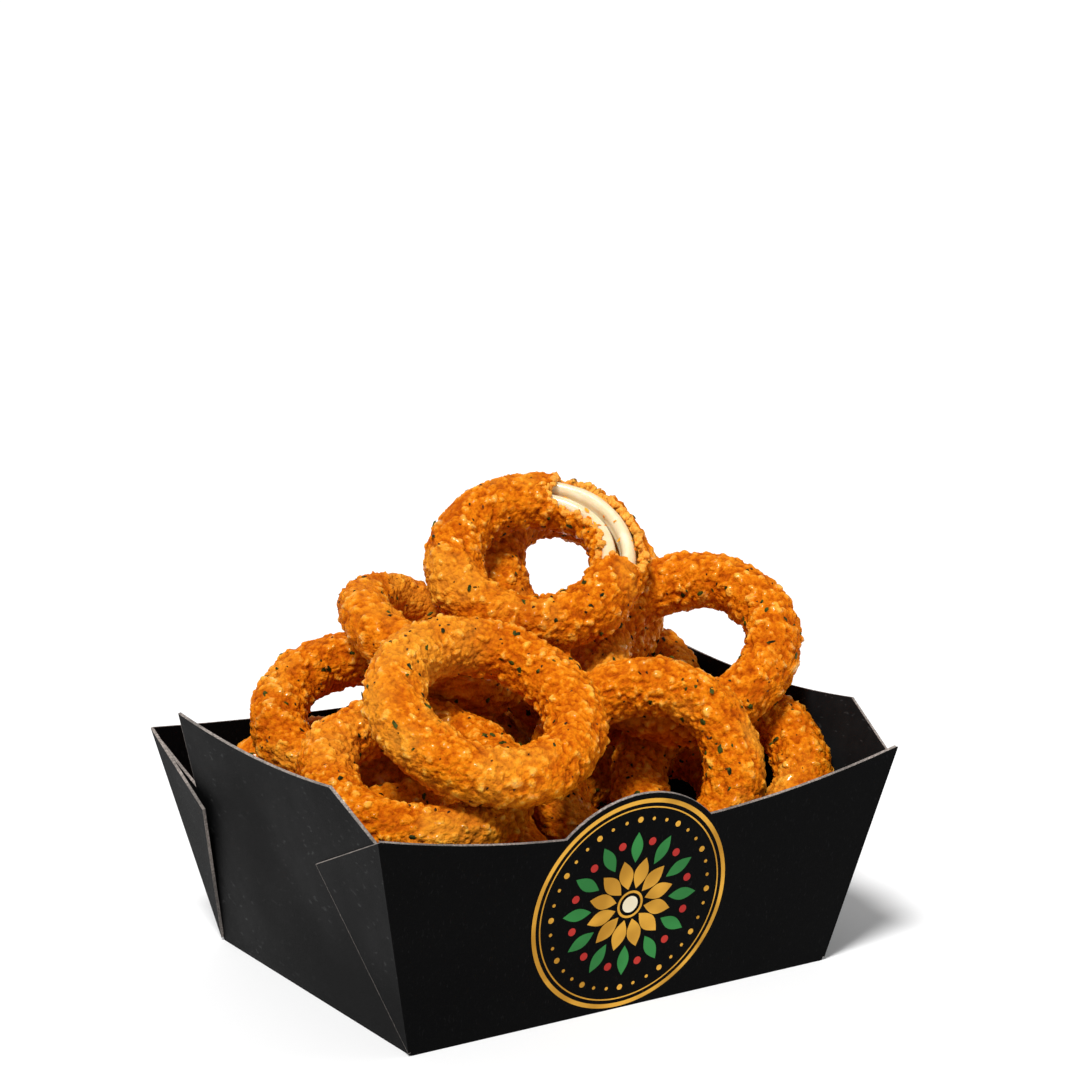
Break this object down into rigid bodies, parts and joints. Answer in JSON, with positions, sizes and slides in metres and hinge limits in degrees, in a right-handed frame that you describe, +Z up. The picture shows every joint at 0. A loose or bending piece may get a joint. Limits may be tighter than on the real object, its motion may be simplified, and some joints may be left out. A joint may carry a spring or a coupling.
{
  "type": "onion rings side",
  "caption": "Heap of breaded fried onion rings in a folded black card tray, one ring torn open over its onion layers.",
  "frame": {"origin": "middle of the tray's flat underside, under the middle of the whole part's box", "axes": "+X to the tray's right seen from its front, +Y from the badged front wall to the back wall, +Z up"},
  "size_m": [0.1664, 0.129, 0.127],
  "materials": {
    "card": "black uncoated card, matt",
    "crust": "golden fried breadcrumb crust, knobbly, slightly oily",
    "onion": "cooked onion, translucent cream, moist"
  },
  "bodies": {
    "root": {"card_tray": "card", "ring_back": "crust", "ring_right": "crust", "ring_upper_left": "crust", "ring_front": "crust", "ring_left_back": "crust", "ring_left_front": "crust", "ring_right_low": "crust", "torn_ring_crust": "crust", "low_ring_1": "crust", "low_ring_2": "crust", "low_ring_3": "crust", "low_ring_4": "crust", "low_ring_5": "crust", "low_ring_6": "crust", "low_ring_7": "crust", "low_ring_8": "crust", "low_ring_9": "crust", "low_ring_10": "crust", "low_ring_11": "crust", "onion_layer_outer": "onion", "onion_layer_inner": "onion"}
  },
  "joints": []
}
